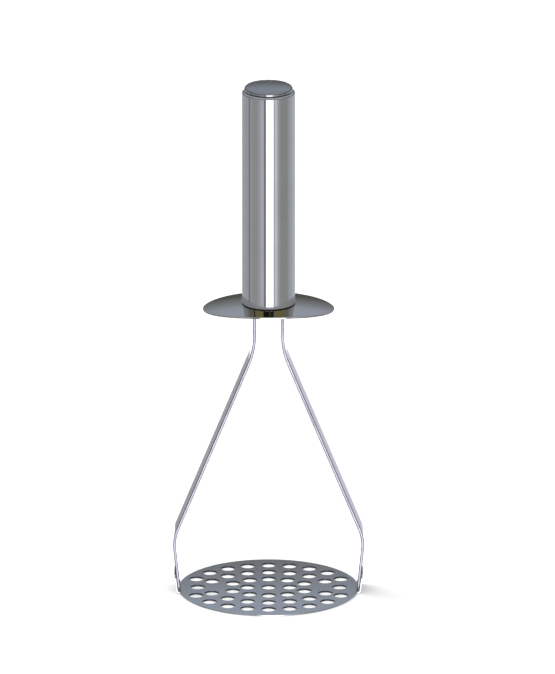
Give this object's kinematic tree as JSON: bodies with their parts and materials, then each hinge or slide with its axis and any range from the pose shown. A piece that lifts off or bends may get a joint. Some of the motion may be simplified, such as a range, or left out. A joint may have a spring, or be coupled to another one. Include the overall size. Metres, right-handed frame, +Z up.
{
  "type": "potato masher",
  "caption": "Stainless potato masher: round perforated plate on a bent strap yoke, oval hand guard and straight tubular handle with a domed end cap.",
  "frame": {"origin": "on the surface that the plate stands on, at the handle's axis", "axes": "+Z up along the handle, X from leg to leg, Y from front to back"},
  "size_m": [0.0956, 0.09, 0.2636],
  "materials": {
    "plate_steel": "satin",
    "strap_steel": "polished strap with rolled edges",
    "guard_steel": "mirror polished",
    "handle_steel": "polished along its length",
    "cap_steel": "satin",
    "seal_rubber": "matte",
    "plug_nylon": "moulded",
    "fastener_zinc": "zinc plated"
  },
  "bodies": {
    "root": {"mashing_plate": "plate_steel", "leg_yoke": "strap_steel", "hand_guard": "guard_steel", "base_seal": "seal_rubber", "base_plug": "plug_nylon", "yoke_nut": "fastener_zinc", "lock_washer": "fastener_zinc", "tie_rod": "fastener_zinc", "handle_tube": "handle_steel", "cap_seal": "seal_rubber", "end_cap": "cap_steel"}
  },
  "joints": []
}
